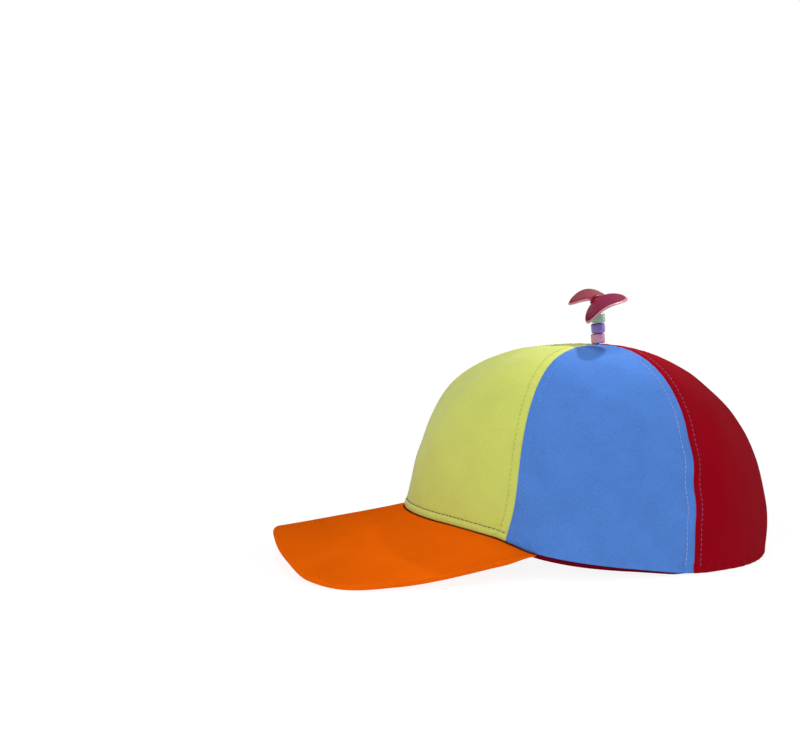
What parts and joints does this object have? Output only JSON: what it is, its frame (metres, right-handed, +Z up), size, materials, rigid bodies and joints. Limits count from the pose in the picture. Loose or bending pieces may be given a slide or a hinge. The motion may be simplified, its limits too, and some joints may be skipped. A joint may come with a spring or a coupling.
{
  "type": "propeller cap",
  "caption": "Cloth cap with a rounded crown of coloured panels, a curved brim, a band inside the rim, and a plastic propeller that spins on a pin strung with beads.",
  "frame": {"origin": "on the surface that the cap stands on, under the middle of its box", "axes": "+Z up, -Y toward the tip of the brim, +X toward the wearer's left"},
  "size_m": [0.185, 0.2844, 0.1517],
  "materials": {
    "yellow_cloth": "matte cotton twill",
    "blue_cloth": "matte cotton twill",
    "red_cloth": "matte cotton twill",
    "orange_cloth": "matte cotton twill",
    "band_cloth": "matte woven tape",
    "pin_plastic": "moulded plastic",
    "pink_bead": "pearly plastic",
    "purple_bead": "pearly plastic",
    "green_bead": "pearly plastic",
    "red_plastic": "clear tinted plastic"
  },
  "bodies": {
    "cap": {"panel_front": "yellow_cloth", "panel_side_left": "blue_cloth", "panel_side_right": "blue_cloth", "panel_back_left": "red_cloth", "panel_back_right": "red_cloth", "brim": "orange_cloth", "sweatband": "band_cloth", "post": "pin_plastic", "bead_pink": "pink_bead", "bead_purple": "purple_bead", "bead_green": "green_bead"},
    "propeller": {"propeller": "red_plastic"}
  },
  "joints": [
    {"name": "propeller_spin", "type": "hinge", "parent": "cap", "child": "propeller", "pos_m": [0, 0.04497, 0.1423], "axis": [0.114, -0.3156, 0.942], "continuous": true}
  ]
}
